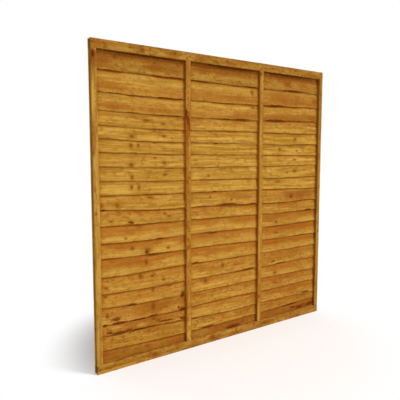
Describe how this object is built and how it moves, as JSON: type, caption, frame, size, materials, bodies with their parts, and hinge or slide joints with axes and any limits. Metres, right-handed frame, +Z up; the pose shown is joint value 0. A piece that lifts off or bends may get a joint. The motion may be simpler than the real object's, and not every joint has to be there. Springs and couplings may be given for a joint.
{
  "type": "lap fence panel",
  "caption": "Square timber garden fence panel of waney-edged lapped slats held between a front and a back frame of sawn battens.",
  "frame": {"origin": "centre of the panel's underside, where it stands", "axes": "+Z up, +X to the right as seen from the front, the face with the slats' free lower edges looks along -Y"},
  "size_m": [1.83, 0.0396, 1.83],
  "materials": {
    "frame_timber": "sawn and dip treated",
    "slat_timber": "sawn and dip treated"
  },
  "bodies": {
    "root": {"top_rail_front": "frame_timber", "bottom_rail_front": "frame_timber", "left_stile_front": "frame_timber", "left_batten_front": "frame_timber", "right_batten_front": "frame_timber", "right_stile_front": "frame_timber", "top_rail_back": "frame_timber", "bottom_rail_back": "frame_timber", "left_stile_back": "frame_timber", "left_batten_back": "frame_timber", "right_batten_back": "frame_timber", "right_stile_back": "frame_timber", "slat_01": "slat_timber", "slat_02": "slat_timber", "slat_03": "slat_timber", "slat_04": "slat_timber", "slat_05": "slat_timber", "slat_06": "slat_timber", "slat_07": "slat_timber", "slat_08": "slat_timber", "slat_09": "slat_timber", "slat_10": "slat_timber", "slat_11": "slat_timber", "slat_12": "slat_timber", "slat_13": "slat_timber", "slat_14": "slat_timber", "slat_15": "slat_timber", "slat_16": "slat_timber", "slat_17": "slat_timber", "slat_18": "slat_timber", "slat_19": "slat_timber", "slat_20": "slat_timber"}
  },
  "joints": []
}
